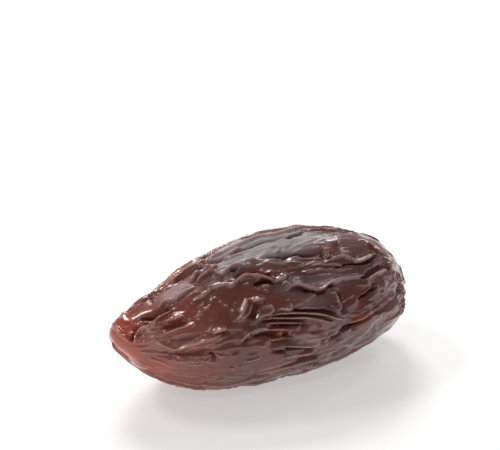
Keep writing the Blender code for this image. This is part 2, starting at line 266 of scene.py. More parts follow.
crests = [
    (0.35, [(3.6, -40), (3, -25), (2.6, -8), (2.4, 5), (2.7, 18), (3.2, 24)]),  # nose lip
    (0.35, [(1, -35), (0.9, 0), (1, 25), (1.3, 45), (1.8, 57), (2.1, 68)]),  # nose rim
    (0.60, [(2.6, 68), (2.8, 60), (3.1, 50), (3.7, 42.5), (4.4, 40), (5, 41), (5.3, 47),
            (5.6, 52)]),
    (0.35, [(4.2, 32), (5, 32.5), (5.5, 36), (5.9, 41), (6.1, 47)]),
    (0.55, [(5.4, 47), (5.8, 42), (6.4, 38), (7.1, 34.5), (7.9, 33), (8.8, 32.5),
            (9.6, 30)]),                                                    # pink ridge
    (0.45, [(6.6, 24), (7, 23), (7.8, 21.5), (8.8, 18), (9.4, 19), (10.6, 22), (11.8, 20),
            (13.5, 17.4), (14.6, 16)]),                                     # facet's foot
    (0.50, [(16.4, 1), (15.7, 4), (14.9, 8), (14, 12)]),
    (0.55, [(7.8, -8), (9, -15), (10.6, -20), (12.4, -22), (14.2, -25), (16, -28)]),
    (0.55, [(7.6, 43.5), (8.5, 42), (9.3, 43), (10.3, 42.5), (11.2, 41.5)]),
    (0.50, [(6.3, 59), (7.4, 56), (8.4, 55), (9.3, 54), (11, 53.5), (12.5, 53)]),  # pale ridge
    (0.55, [(5.6, 60), (6, 66), (6.8, 71.5), (7.6, 75), (8.7, 77), (9.8, 75), (11.2, 73),
            (12.8, 71.5), (14.4, 70.5), (16, 67.5)]),
    (0.60, [(8, 93), (9.9, 92), (11.6, 92), (12.8, 93), (13.5, 93.5)]),
    (0.50, [(18.5, 0), (18.9, -4), (19.3, -8), (19.8, -12), (20.4, -17), (21.2, -23), (22.5, -25),
            (24.4, -26)]),
    (0.40, [(18.3, -13.5), (17.6, -12), (17.1, -9), (17.8, -3), (18.3, 2.5)]),
    (0.40, [(20.8, 2), (22, -0.7), (23.1, -2.7), (24, -4), (24.9, -6.5)]),
    (0.35, [(21.4, 3.2), (22.5, 3.1), (23.6, 3.2), (24.7, 3.2)]),
    (0.65, [(14.4, 14.5), (15, 13.8), (15.8, 11.5), (16.8, 10.4), (18, 8.8), (18.8, 6.3),
            (19.4, 3)]),                                                    # crown fold
    (0.45, [(18.5, 8), (18.4, 11), (18.6, 16), (19.1, 20.5)]),
    (0.55, [(20, 19), (20.1, 17), (20.5, 15), (21, 13.7), (21.6, 13.6), (22.4, 15), (22.7, 17)]),  # hook
    (0.45, [(23.4, 13.5), (24, 14), (24.7, 15), (25.1, 17.2), (25.2, 19.3)]),
    (0.40, [(23.5, 15.5), (23.8, 18.3), (24.3, 21.7)]),
    (0.45, [(30.1, 12.5), (29.6, 14.3), (29.1, 16.2)]),
    (0.30, [(28.8, 8.5), (29.4, 8.3), (30, 8)]),
    (0.30, [(26, 20), (27.5, 23.3), (29.3, 26.8), (30.4, 28)]),
    (0.60, [(12.6, 33), (13.6, 31), (14.5, 30.4), (15.9, 28), (17, 27), (18.1, 27.7), (18.9, 28.8),
            (19.6, 30.9), (20.6, 28.7), (21.3, 27.4), (22, 26.4), (22.7, 26), (23.9, 28.7),
            (24.9, 31.6), (26.3, 36), (27.5, 39)]),
    (0.35, [(21.2, 29.7), (22, 28.8), (22.7, 29.2), (23.5, 31.4)]),
    (0.40, [(21.6, 33), (22.3, 33), (22.8, 32.3)]),
    (0.45, [(24, 39), (25, 39.5), (25.8, 40.2)]),
    (0.35, [(25, 39.7), (24.9, 42.4), (24.8, 46)]),
    (0.60, [(21.2, 44.4), (20.9, 48), (20.5, 51), (20, 54.3), (19.5, 56.7), (18.9, 59),
            (18.5, 62)]),                                                   # the vee
    (0.36, [(22.2, 48.6), (21.8, 51.3), (21.4, 53.6), (21, 56.3), (20.4, 58.4), (19.7, 59.8),
            (18.8, 61)]),
    (0.50, [(22, 45), (22.1, 47), (22.3, 48.8), (22.9, 48.8), (23.6, 48.8), (24.3, 49)]),
    (0.36, [(23.2, 58), (23.3, 55.2), (24, 55.6), (24.6, 57), (24.9, 59.3), (24.4, 61.2),
            (23.8, 62), (23, 62), (22.4, 62.6), (21.7, 64.4), (21.2, 65.6), (20.6, 65.4)]),  # zigzag
    (0.55, [(18.4, 81), (19.1, 76.5), (19.9, 74), (20.9, 72.2), (22.2, 71.8), (23.8, 73.5)]),  # curl
    (0.30, [(15.4, 39), (15.9, 36.7), (16.3, 35.6), (16.7, 37.5), (16.9, 40)]),
    (0.30, [(13.6, 37.5), (14.1, 39.6), (14.2, 42.5), (14.9, 42), (15.5, 43)]),
    (0.25, [(17.3, 45), (18.3, 46.5)]),
    (0.45, [(26.4, 38), (27.6, 37.8), (28.4, 37.5), (28.8, 36), (28.9, 34.5)]),
    (0.60, [(41.3, 7), (41, 12), (40.6, 16), (40.2, 21)]),                  # step
    (0.35, [(38.2, 20), (38, 25), (37.6, 31)]),
    (0.55, [(36.6, 34), (38.4, 31), (40, 31), (41.3, 34), (42.2, 38.2), (44.1, 36.8), (46, 33.3),
            (47.9, 26.5)]),
    (0.45, [(47.2, 12), (47.3, 17), (47.9, 23), (48.1, 26)]),
    (0.45, [(48, 26), (49.6, 22.5), (51, 20)]),
    (0.45, [(43, 60), (43.4, 55.5), (44.2, 53), (45.2, 51.4), (46.9, 49.2), (48.4, 46.5)]),
    (0.60, [(28.3, 44), (29.2, 45.4), (30.1, 45), (31.1, 46.3), (31.8, 48.9), (32.6, 51.1),
            (33.5, 52.7), (34.3, 53.4), (35, 52), (35.6, 50.4), (36.4, 49.6), (37.6, 49.8),
            (38.8, 49.8)]),                                                 # grey ridge
    (0.55, [(36.3, 56), (36.5, 60), (36.6, 64), (36.7, 68), (36.7, 71), (36.5, 74.5)]),  # panel's side
    (0.50, [(25.7, 59.8), (26.5, 61), (27.3, 62.4), (28.1, 61.7), (28.4, 60)]),
    (0.30, [(28.7, 61.5), (29.7, 63.7), (31.1, 65), (32.4, 66.8), (33.8, 68.5)]),
    (0.50, [(23.6, 63.4), (24.7, 63.5), (25.8, 63.8), (27.1, 64.9), (28.4, 66.2), (29.8, 67.7),
            (31.1, 69.5), (32.5, 71.5), (33.9, 74.2), (35.2, 77.5), (36.6, 80.8), (38, 85)]),
    (0.45, [(22.1, 64.8), (23, 64.9), (24.3, 65.6), (25.6, 67), (27.3, 69), (28.6, 70.3),
            (30, 71.6), (31.4, 73.9), (32.8, 76.6), (34.2, 80), (35.6, 83)]),
    (0.45, [(25.9, 91.5), (27.4, 93), (28.9, 94.5), (30.5, 96), (32, 97), (33, 94.5)]),
    (0.45, [(25.2, 103), (27.6, 103.5), (30, 104), (32, 104.5)]),
    (0.50, [(20.6, 118.5), (22.6, 118), (24.6, 117.5), (28, 116), (31, 115.5), (33.6, 117)]),
    (0.60, [(38.4, 87), (40.9, 86), (42.3, 84), (43.7, 83.5), (45.3, 81), (47.5, 77.3),
            (49.5, 74)]),                                                   # side ridge
    (0.40, [(46, 92.5), (47.6, 89.5), (49.2, 86), (50.2, 82)]),
    (0.50, [(52.2, 45), (52.3, 58), (52.1, 72), (51.8, 86), (51.2, 100), (50.2, 112)]),  # end's edge
    (0.40, [(48.6, 48), (49.2, 54), (50, 60), (50.9, 66)]),
    (0.50, [(52.3, 40), (51.2, 38.3), (50.2, 38.5), (49.4, 41.5), (49.4, 46), (49.8, 49.5)]),
    (0.30, [(46.8, 54), (46.6, 60), (46.3, 66), (45.7, 72)]),
    (0.40, [(9.9, 97.2), (11.1, 97), (12.5, 97.5)]),
    (0.45, [(18.9, 99.5), (20, 98.8), (21, 98), (22, 97)]),
    (0.35, [(20.4, 73.5), (22.6, 73.8), (24.2, 74.8), (26.1, 76.8), (27.6, 79.5)]),  # above the curl
    (0.35, [(22.4, 68.5), (24.2, 69.4), (25.8, 71), (27.3, 72.8), (28.7, 74.6), (30, 76)]),
    (0.35, [(21.4, 87.5), (22.2, 87), (22.9, 86.5)]),
    (0.45, [(23.3, 82.8), (24.6, 83.4), (25.9, 83.8)]),
    (0.35, [(31.9, 82.5), (32.8, 83), (33.3, 84)]),
    (0.45, [(34.9, 90), (34.4, 92), (33.9, 95), (33.7, 99.5), (33.9, 104)]),
    (0.35, [(14.3, 86), (14.8, 89.5), (15.4, 90), (16.2, 89)]),
    (0.30, [(16.6, 104.5), (17.3, 107), (17.8, 108)]),
    (0.30, [(18.4, 103.5), (18.5, 107)]),
    (0.40, [(21.5, 112), (24, 111.5), (26.5, 110.5), (29, 110)]),
    (0.40, [(15.8, 117), (17.6, 118.5), (19.6, 120.5)]),
    (0.30, [(10, 78), (12, 76.5), (14.6, 75)]),
    (0.30, [(10.8, 88), (12.2, 87.8), (13.4, 87)]),
    (0.65, [(14.2, 66.6), (15.1, 65.5), (16.1, 65.5), (17.1, 65.5)]),
    (0.45, [(50.9, 46), (51.2, 57), (51.2, 68), (51, 78), (51.4, 90)]),
    (0.40, [(35, 48.3), (37, 48.5), (39.8, 49.5), (41.8, 50.2), (43.6, 50.5)]),
    (0.30, [(33, 33), (36.6, 35.2), (39.6, 39), (42.4, 41.5), (44.5, 40.5)]),
    (0.30, [(31.4, 37), (34.4, 38.5), (37.2, 39.8), (39.9, 42.7), (42, 44.5)]),
    (0.35, [(42.6, 72.5), (44.2, 68.5), (45.4, 61.5)]),
    (0.40, [(46.5, 104), (48.5, 103), (49.7, 100.5), (50.8, 94)]),
]

creases = [
    (0.90, [(4.1, 35), (3.6, 40), (3.1, 46), (2.6, 54), (2.1, 61)]),        # nose fold
    (0.45, [(7.4, -20), (7.5, -8), (7.4, 2), (7.1, 10)]),
    (0.70, [(4.6, 22), (5.1, 26.5), (5.9, 30.5), (6.9, 31.5), (7.8, 31.5), (8.6, 29),
            (9, 25)]),                                                      # red groove
    (0.25, [(6.8, 47.5), (7.9, 49), (9.1, 48.5), (10.6, 48)]),
    (0.25, [(7.6, 64), (9.2, 66), (11, 66), (13, 64)]),
    (0.35, [(6.2, 81), (8, 83.5), (10.2, 85), (12.4, 83.5), (14, 82)]),
    (0.60, [(14.6, 11.5), (15.5, 9.5), (16.6, 8.3), (17.9, 6.5), (18.9, 4.5)]),
    (0.95, [(20.6, 25), (21.4, 24), (22.1, 23.3), (23, 24), (24.1, 26), (25.1, 28.7), (26, 31.5),
            (26.6, 34)]),
    (0.70, [(23, 36), (23.5, 35.5), (24.1, 35), (25, 35.6), (25.8, 37.5), (26.5, 39.7)]),
    (0.40, [(22.7, 50), (22.4, 52), (22, 55), (21.5, 59.3), (20.6, 62.6)]),  # beside the vee
    (0.70, [(26.2, 15.3), (27.5, 17), (28.8, 18.8), (29.8, 20.6), (31.1, 20), (32.5, 20),
            (34.6, 22), (37, 24)]),
    (0.65, [(28.2, 47.5), (29, 47.2), (29.8, 46.9), (30.8, 48), (31.6, 50.7), (32.5, 53.2),
            (33.5, 55), (34.5, 55.5), (35.3, 53.4), (36.2, 52.2), (37.4, 53)]),  # under the grey ridge
    (0.60, [(36.9, 55.5), (37.1, 60.5), (37.2, 66), (37.2, 71.5), (37, 76.5)]),  # panel's edge
    (0.50, [(27.8, 63.5), (28.5, 63.8), (29.6, 65.7), (31, 67.3), (32.3, 68.8), (33.7, 71.2),
            (35, 74.8), (36.1, 77.7)]),
    (0.30, [(24, 65.3), (25.4, 65.5), (27, 66.8), (28.4, 68.2), (29.8, 69.7), (31.1, 71.5),
            (33.8, 76.2), (35.2, 79.5)]),
    (0.35, [(22.3, 67), (24.2, 67.7), (25.8, 69.3), (27.3, 71), (28.7, 72.8), (30, 74)]),
    (0.45, [(24, 71.5), (25.7, 73), (28.2, 75.5), (30.9, 79)]),
    (0.40, [(23.2, 84.3), (25, 85.9), (26.8, 87.7), (28, 88)]),
    (0.45, [(25.8, 81.6), (26.8, 83.6), (28, 86.7)]),
    (0.45, [(34.8, 90), (34.2, 92.5), (33.3, 95.8), (33, 101)]),
    (0.40, [(13.3, 84), (13.9, 88), (14.4, 92)]),
    (0.30, [(15.2, 68), (16.3, 69), (17.3, 68)]),
    (0.45, [(36.8, 21), (37, 25), (36.7, 30)]),
    (0.30, [(30.6, 83), (31.2, 86), (32.4, 87), (33.4, 85)]),
    (0.50, [(23.4, 95.5), (25.5, 97), (27.6, 96.5), (29.8, 98.5), (31.8, 101)]),
    (0.40, [(26, 113.5), (28.4, 112.5), (31, 111.5), (33.2, 112.5)]),
    (0.90, [(33.4, 98), (35.5, 95), (36.8, 93.5), (37.8, 92), (39.1, 91), (40.6, 89), (42.1, 87),
            (43.9, 85.5), (45.7, 83.4), (47.9, 80), (49.8, 77), (51, 72)]),
    (0.60, [(44.8, 58), (44.6, 60.5), (44.2, 63.7), (43.2, 65.6), (41.9, 67.2), (40.6, 69.5)]),
    (0.60, [(48.4, 28), (47.4, 31), (46.5, 34), (45.1, 38), (43.4, 40.5), (41.9, 40.3), (39.9, 39),
            (37.5, 40)]),
    (0.50, [(49, 42.5), (49, 47), (49.2, 51), (49.4, 56)]),
    (0.50, [(48.9, 41.5), (47.2, 44), (45.9, 46.8), (44.2, 50), (42, 53)]),
    (0.55, [(18.8, 83.5), (19.4, 80), (20, 77.2), (21.4, 76.4), (23.1, 77.4), (24.2, 79.5),
            (25.1, 81.8)]),
    (0.45, [(23.4, 128), (26.5, 125), (29.8, 122), (33, 124)]),
    (0.40, [(35.6, 121), (37.2, 118), (39.2, 115.5)]),
    (0.45, [(20.7, 17), (21.3, 16.5), (22, 18)]),
]

fineCrests = [
    (0.20, [(7.4, 66.5), (8.4, 65.5), (9.4, 65.5)]),
    (0.30, [(23.4, 37.6), (23.3, 40)]),
    (0.22, [(32, 25), (33.8, 26), (35.3, 26.5)]),
    (0.25, [(27, 23.5), (29, 24.7), (31, 27), (33, 29)]),
    (0.22, [(29.2, 32), (31.2, 32.5), (33.6, 31.5), (35.4, 31)]),
    (0.25, [(31, 40.5), (33.2, 42), (35.8, 43.5), (38.4, 45.5)]),
    (0.20, [(34.4, 107), (36.6, 107.5), (38.8, 108)]),
    (0.20, [(38.6, 70.5), (39.2, 66.5), (40, 63)]),
]

farSide = {                  # long ridges of the sides away from the viewer, as the solid's
    "seed": 11,
    "start": 130.0,
    "end": 350.0,
    "count": 15,
    "height": (0.40, 0.65),
    "halfWidth": (1.8, 2.5),
    "alongStart": (1.5, 6.0),
    "alongEnd": (48.0, 54.0),
    "scatter": 0.25,         # share of the spacing
    "step": 4.5,
    "waver": 5.0,
    "steadiness": 0.5,       # share of the drift that each step keeps
    "grooveShare": 0.9,
}


def farSideFolds():
    rng = random.Random(farSide["seed"])
    spacing = (farSide["end"] - farSide["start"]) / (farSide["count"] - 1)
    ridges = []
    grooves = []
    for index in range(farSide["count"]):
        middle = farSide["start"] + index * spacing
        middle += rng.uniform(-farSide["scatter"], farSide["scatter"]) * spacing
        height = rng.uniform(*farSide["height"])
        rng.uniform(*farSide["halfWidth"])     # the solid's breadths, drawn to keep its places
        along = rng.uniform(*farSide["alongStart"])
        end = rng.uniform(*farSide["alongEnd"])
        drift = rng.uniform(-1, 1)
        places = []
        while along < end:
            drift = farSide["steadiness"] * drift + rng.uniform(-1, 1)
            places.append((along, middle + drift * farSide["waver"]))
            along += farSide["step"]
        ridges.append((height, places))
        grooves.append((height * farSide["grooveShare"], [(x, a + 0.5 * spacing) for x, a in places]))
    return ridges, grooves


strandLooks = {              # thin lines that wander along the skin between the larger folds
    "seed": 5,
    "groups": [              # count, sector, length in mm, height in mm, slant
        (105, (160, 330), (4.0, 14.0), (0.10, 0.38), 0.30),
        (30, (115, 160), (4.0, 14.0), (0.06, 0.22), 0.20),
        (24, (325, 357), (4.0, 14.0), (0.06, 0.22), 0.20),
        (90, (-5, 115), (3.0, 9.0), (0.07, 0.18), 0.12),
        (30, (55, 125), (3.0, 7.0), (0.10, 0.22), 0.15),
        (30, (160, 325), (2.0, 4.5), (0.12, 0.30), 2.2),
    ],
    "start": (1.5, 51.0),    # mm from the nose
    "end": 53.5,
    "step": 1.3,
    "waver": 0.22,
    "straighten": 0.93,      # what is left of the lean after each step, unless the line runs across
    "leastRadius": 1.5,
}


def wanderingLines():
    rng = random.Random(strandLooks["seed"])
    out = []
    for count, sector, length, height, slant in strandLooks["groups"]:
        for _ in range(count):
            along = rng.uniform(*strandLooks["start"])
            around = rng.uniform(*sector)
            left = rng.uniform(*length)
            rise = rng.uniform(*height)
            lean = rng.gauss(0, slant)
            places = []
            while left > 0 and along < strandLooks["end"] and sector[0] < around < sector[1]:
                places.append((along, around))
                lean += rng.gauss(0, strandLooks["waver"])
                step = strandLooks["step"] / math.hypot(1, lean)
                radius = float(girth((along + fruit["mark"]) / fruit["length"])) * fruit["width"] / 2
                radius = max(strandLooks["leastRadius"], radius)
                along += step
                around += math.degrees(step * lean / radius)
                lean *= strandLooks["straighten"] if slant < 1 else 1.0
                left -= strandLooks["step"]
            if len(places) > 2:
                out.append((rise, places))
    return out


def smoothLine(places):            # a rounded line through the points, in mm and degrees
    p = np.array([places[0], *places, places[-1]], dtype=float)
    out = []
    for i in range(1, len(p) - 2):
        size = math.hypot(p[i + 1, 0] - p[i, 0], (p[i + 1, 1] - p[i, 1]) * folds["mmPerDegree"])
        s = np.linspace(0, 1, max(3, int(size / folds["step"])), endpoint=False)[:, None]
        a, b, c, d = p[i - 1], p[i], p[i + 1], p[i + 2]
        out.append(0.5 * (2 * b + (c - a) * s + (2 * a - 5 * b + 4 * c - d) * s ** 2
                          + (3 * b - a - 3 * c + d) * s ** 3))
    return np.concatenate(out)


def taper(count):                  # 1 along a line, falling to 0 at its ends
    return 1 - np.abs(np.linspace(-1, 1, count)) ** folds["taper"]


def drape(lines):                  # cloth laid over the lines
    pull = np.zeros(grid.t.shape)
    lift = np.zeros(grid.t.shape)
    for height, places in lines:
        line = smoothLine(places)
        ring, column = grid.placeOf(line[:, 0], line[:, 1])
        rise = height * taper(len(ring))
        for dr in (0, 1):
            for dc in (0, 1):
                r = np.minimum(np.floor(ring).astype(int) + dr, fruit["rings"])
                c = (np.floor(column).astype(int) + dc) % fruit["columns"]
                alongShare = 1 - np.abs(ring - np.floor(ring) - dr)
                near = alongShare * (1 - np.abs(column - np.floor(column) - dc))
                np.add.at(pull, (r, c), near)
                np.add.at(lift, (r, c), near * rise)
    wide = grid.cellWide ** -2.0
    long = grid.cellLong ** -2.0
    hold = folds["pull"] * (wide + long) * np.minimum(pull, 1)
    target = lift / np.maximum(pull, 1e-9)
    total = 2 * wide + 2 * long + folds["reach"] ** -2 + hold
    z = np.zeros(grid.t.shape)
    for _ in range(folds["rounds"]):
        up, down, left, right = grid.around4(z)
        z = (long * (up + down) + wide * (left + right) + hold * target) / total
        z[0] = z[1].mean()
        z[-1] = z[-2].mean()
    return z


def pencil(lines, width, below=0.0):       # the lines as thin ridges, shifted below themselves
    z = np.zeros(grid.t.shape)
    margin = folds["margin"] * width + below
    for height, places in lines:
        line = smoothLine(places)
        t = (line[:, 0] + fruit["mark"]) / fruit["length"]
        a = np.radians(line[:, 1])
        points = bodyPoint(t, a)
        past = margin / folds["marginLength"]
        rows = np.flatnonzero((grid.share > t.min() - past) & (grid.share < t.max() + past))
        radius = max(1.0, girth(np.array([t.min(), t.max()])).min() * fruit["height"] / 2)
        turn = (grid.around - a.mean() + math.pi) % (2 * math.pi) - math.pi
        reach = (a.max() - a.min()) / 2 + np.abs(a.mean() - (a.max() + a.min()) / 2) + margin / radius
        columns = np.flatnonzero(np.abs(turn) < reach)
        block = np.ix_(rows, columns)
        here = grid.points[block].reshape(-1, 1, 3)
        way = np.diff(points, axis=0)
        size = np.linalg.norm(way, axis=1)
        share = np.clip(((here - points[:-1]) * way).sum(axis=2) / size ** 2, 0, 1)
        offset = here - points[:-1] - share[..., None] * way
        distance = np.linalg.norm(offset, axis=2)
        nearest = distance.argmin(axis=1)
        pick = np.arange(len(nearest)), nearest
        out = distance[pick]
        if below:
            side = np.sign((offset[pick] * grid.downwards[block].reshape(-1, 3)).sum(axis=1))
            out = np.abs(out * side - below)
        rise = height * np.interp(nearest + share[pick], np.arange(len(points)), taper(len(points)))
        shape = rise * np.exp(-(out / width) ** folds["fallOff"])
        z[block] = np.maximum(z[block], shape.reshape(len(rows), len(columns)))
    return z


def hills(table):
    total = np.zeros(grid.t.shape)
    for height, halfLength, halfBreadth, (along, around) in table.values():
        share = (along + fruit["mark"]) / fruit["length"]
        middle = bodyPoint(np.array(share), np.array(math.radians(around)))
        gap = grid.points - middle
        across = np.linalg.norm(gap[..., 1:], axis=-1) / halfBreadth
        total += height * np.exp(-(gap[..., 0] / halfLength) ** 2 - across ** 2)
    return total


ends = {                     # the scar that the stalk leaves, the pleats round it, and the nose's dimple
    "scarRadius": 2.9,
    "scarDepth": 1.3,
    "scarRim": 0.45,
    "rimPlace": 1.3,         # in scar radii
    "rimWidth": 0.25,
    "pleats": 11,
    "pleatHeight": 0.26,
    "pleatRing": 4.8,        # mm from the axis, where they are tallest
    "pleatSpread": (1.3, 2.8),
    "pleatUnevenness": 1.6,
    "pleatLobes": 5,
    "lobeShare": 0.3,
    "dimpleRadius": 1.2,
    "dimpleDepth": 0.5,
}


def endRelief():
    offAxis = girth(grid.t) * fruit["width"] / 2
    across = offAxis / ends["scarRadius"]
    scar = -ends["scarDepth"] * np.exp(-across ** 6)
    scar += ends["scarRim"] * np.exp(-((across - ends["rimPlace"]) / ends["rimWidth"]) ** 2)
    wave = np.cos(ends["pleats"] * grid.a + ends["pleatUnevenness"] * np.sin(2 * grid.a + 1))
    wave *= 1 - ends["lobeShare"] + ends["lobeShare"] * np.sin(ends["pleatLobes"] * grid.a)
    spread = np.where(offAxis < ends["pleatRing"], *ends["pleatSpread"])
    scar += ends["pleatHeight"] * wave * np.exp(-((offAxis - ends["pleatRing"]) / spread) ** 2)
    dimple = -ends["dimpleDepth"] * np.exp(-(offAxis / ends["dimpleRadius"]) ** 2)
    return np.where(grid.t > 0.5, scar, dimple)


puckers = {                  # a net of low ridges round small sunken panels, drawn out along the fruit
    "long": 4.6,             # mm
    "across": 2.0,
    "height": 0.21,
    "frontHeight": 0.11,
    "frontMiddle": 42.0,     # degrees, where the larger folds above already give the relief
    "frontHalf": 72.0,
    "width": 0.20,
    "warp": 0.9,
    "seed": 4.7,
    "bendSeed": 5,           # for the way that both of these nets bend
    "bendScale": 0.5,
    "strength": (0.55, 0.9), # the middle, and how far it swings from place to place
    "strengthScale": 0.3,
    "weakest": 0.1,
    "sink": 0.35,
    "fineHeight": 0.018,
    "fineLong": 0.35,        # waves per mm
    "fineAcross": 1.6,
    "fineBend": 0.8,
}

crumple = {                  # thin sharp wrinkles over low soft lumps
    "lumpLong": 4.2,         # mm
    "lumpAcross": 2.4,
    "lumpHeight": 0.26,
    "foldLong": 5.0,
    "foldAcross": 1.3,
    "foldHeight": 0.20,
    "sharpness": 3.0,
    "bend": 0.55,
    "bendScale": 0.7,
    "lumpBend": 0.4,
    "where": (0.55, 1.3),    # the middle, and how far it swings from place to place
    "whereScale": 0.45,
    "whereBend": 0.2,
    "sink": 0.25,
    "calmNose": (3.0, 12.0), # mm from the tip over which both of these nets set in
    "calmShare": 0.25,
}


noise.seed_set(puckers["bendSeed"])


def puckerHeight():
    flat = grid.points.reshape(-1, 3)
    net = np.empty(len(flat))
    fine = np.empty(len(flat))
    shift = Vector((puckers["seed"], 0, 0))
    middle, swing = puckers["strength"]
    for i, (x, y, z) in enumerate(flat):
        place = Vector((x / puckers["long"], y / puckers["across"], z / puckers["across"]))
        bend = noise.noise_vector(place * puckers["bendScale"] + shift)
        near, second = noise.voronoi(place + bend * puckers["warp"] + shift)[0][:2]
        strength = middle + swing * noise.noise(place * puckers["strengthScale"] - shift)
        strength = min(1, max(puckers["weakest"], strength))
        net[i] = strength * math.exp(-(second - near) / puckers["width"])
        waves = Vector((x * puckers["fineLong"], y * puckers["fineAcross"], z * puckers["fineAcross"]))
        fine[i] = noise.noise(waves + bend * puckers["fineBend"])
    aside = (np.degrees(grid.a) - puckers["frontMiddle"] + 180) % 360 - 180
    front = np.exp(-(aside / puckers["frontHalf"]) ** 4)
    height = puckers["height"] + (puckers["frontHeight"] - puckers["height"]) * front
    net = height * (net.reshape(grid.t.shape) - puckers["sink"])
    return net + puckers["fineHeight"] * fine.reshape(grid.t.shape)


def crumpleHeight():
    out = np.empty(grid.t.size)
    middle, swing = crumple["where"]
    for i, (x, y, z) in enumerate(grid.points.reshape(-1, 3)):
        place = Vector((x / crumple["lumpLong"], y / crumple["lumpAcross"], z / crumple["lumpAcross"]))
        bend = noise.noise_vector(place * crumple["bendScale"])
        lump = noise.noise(place + bend * crumple["lumpBend"])
        fold = Vector((x / crumple["foldLong"], y / crumple["foldAcross"], z / crumple["foldAcross"]))
        ridge = 1 - abs(noise.noise(fold + bend * crumple["bend"]))
        where = middle + swing * noise.noise(place * crumple["whereScale"] + bend * crumple["whereBend"])
        where = min(1, max(0, where))
        rise = crumple["foldHeight"] * where * ridge ** crumple["sharpness"]
        out[i] = crumple["lumpHeight"] * lump + rise
    return out.reshape(grid.t.shape) - crumple["foldHeight"] * crumple["sink"]


def scaled(lines, share):
    return [(height * share, places) for height, places in lines]


def skinHeight():                  # the skin's height in mm, and its thin edges and creases alone
    ridges, grooves = farSideFolds()
    strands = wanderingLines()
    raised = crests + ridges
    sunk = creases + grooves
    broad = scaled(raised, folds["broad"]) + scaled(sunk, -folds["creaseBroad"])
    broad += scaled(strands, folds["broad"])
    thin = raised + fineCrests + strands
    edges = pencil(scaled(thin, folds["edge"]), folds["edgeWidth"])
    under = pencil(scaled(thin, folds["under"]), folds["edgeWidth"], folds["underStep"])
    cuts = np.maximum(pencil(scaled(sunk, folds["cut"]), folds["cutWidth"]), under)
    start, end = crumple["calmNose"]
    calm = np.clip((grid.t * fruit["length"] - start) / (end - start), crumple["calmShare"], 1)
    calm = calm * (1 - np.clip(hills(smooth), 0, 1))
    nets = calm * (puckerHeight() + crumpleHeight())
    z = hills(swellings) + hills(beads) + nets + drape(broad) + edges - cuts
    fromBelow = np.abs(np.degrees(grid.a) % 360 - 180)
    pressed = np.exp(-(fromBelow / fruit["pressedArc"]) ** 4)
    z = z * (1 - (1 - fruit["pressedShare"]) * pressed)
    return z + endRelief() - fruit["skinSink"], edges, cuts


def lieDown(points):               # dips the nose, presses the resting spot and fits the solid's box
    dip = math.radians(fruit["noseDip"])
    x = points[:, 0] * math.cos(dip) - points[:, 2] * math.sin(dip)
    z = points[:, 0] * math.sin(dip) + points[:, 2] * math.cos(dip)
    z = np.maximum(z, z.min() + fruit["pressDepth"])
    points = np.stack([x, points[:, 1], z], axis=-1)
    low, high = (np.array(corner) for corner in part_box(fruit["node"]))
    size = points.max(axis=0) - points.min(axis=0)
    print("size before fitting, mm:", size.round(2), "solid:", ((high - low) / mm).round(2))
    return low + (points - points.min(axis=0)) / size * (high - low)


def addAttribute(mesh, name, values):
    attribute = mesh.attributes.new(name, "FLOAT", "POINT")
    attribute.data.foreach_set("value", np.asarray(values, dtype=np.float32))


def makeSkin():
    bm = bmesh.new()
    bmesh.ops.create_uvsphere(bm, u_segments=fruit["columns"], v_segments=fruit["rings"], radius=1)
    mesh = bpy.data.meshes.new("date_skin")
    bm.to_mesh(mesh)
    bm.free()
    ball = np.empty(len(mesh.vertices) * 3)
    mesh.vertices.foreach_get("co", ball)
    ball = ball.reshape(-1, 3)
    ring = np.arccos(np.clip(ball[:, 2], -1, 1)) / math.pi * fruit["rings"]
    column = np.arctan2(ball[:, 1], ball[:, 0]) / (2 * math.pi) * fruit["columns"]
    ring = np.rint(ring).astype(int)
    column = np.rint(column).astype(int) % fruit["columns"]
    height, edges, cuts = skinHeight()
    surface = grid.points + grid.normals * height[..., None]
    points = lieDown(surface[ring, column])
    mesh.vertices.foreach_set("co", points.ravel())
    detail = height - grid.blur(height, fruit["blurPasses"])
    addAttribute(mesh, "relief", detail[ring, column])
    addAttribute(mesh, "along", grid.t[ring, column])
    # the thin edges, which the finish also uses to paint a highlight along the crests
    addAttribute(mesh, "edge", edges[ring, column])
    # the thin cuts and the strips below the edges, which the finish also paints with shade
    addAttribute(mesh, "cut", cuts[ring, column])
    addAttribute(mesh, "bloomAndSheen", hills(bloomAndSheen)[ring, column])
    addAttribute(mesh, "blushAndReflection", hills(blushAndReflection)[ring, column])
    addAttribute(mesh, "ripeAndGlow", hills(ripeAndGlow)[ring, column])
    bm = bmesh.new()
    bm.from_mesh(mesh)
    bmesh.ops.recalc_face_normals(bm, faces=bm.faces)
    bm.to_mesh(mesh)
    bm.free()
    mesh.shade_smooth()
    skin = bpy.data.objects.new("date_skin", mesh)
    bpy.context.scene.collection.objects.link(skin)
    return skin


# Shader maths as expressions

class Wire:
    def __init__(self, tree, socket):
        self.tree = tree
        self.socket = socket

    def maths(self, operation, *values):
        sockets = dict(enumerate(values))
        return self.tree.add("ShaderNodeMath", {"operation": operation}, sockets)

    def __add__(self, other):
        return self.maths("ADD", self, other)

    def __radd__(self, other):
        return self.maths("ADD", other, self)

    def __sub__(self, other):
        return self.maths("SUBTRACT", self, other)

    def __rsub__(self, other):
        return self.maths("SUBTRACT", other, self)

    def __mul__(self, other):
        return self.maths("MULTIPLY", self, other)

    def __rmul__(self, other):
        return self.maths("MULTIPLY", other, self)

    def swing(self, least, more):
        return least + more * self


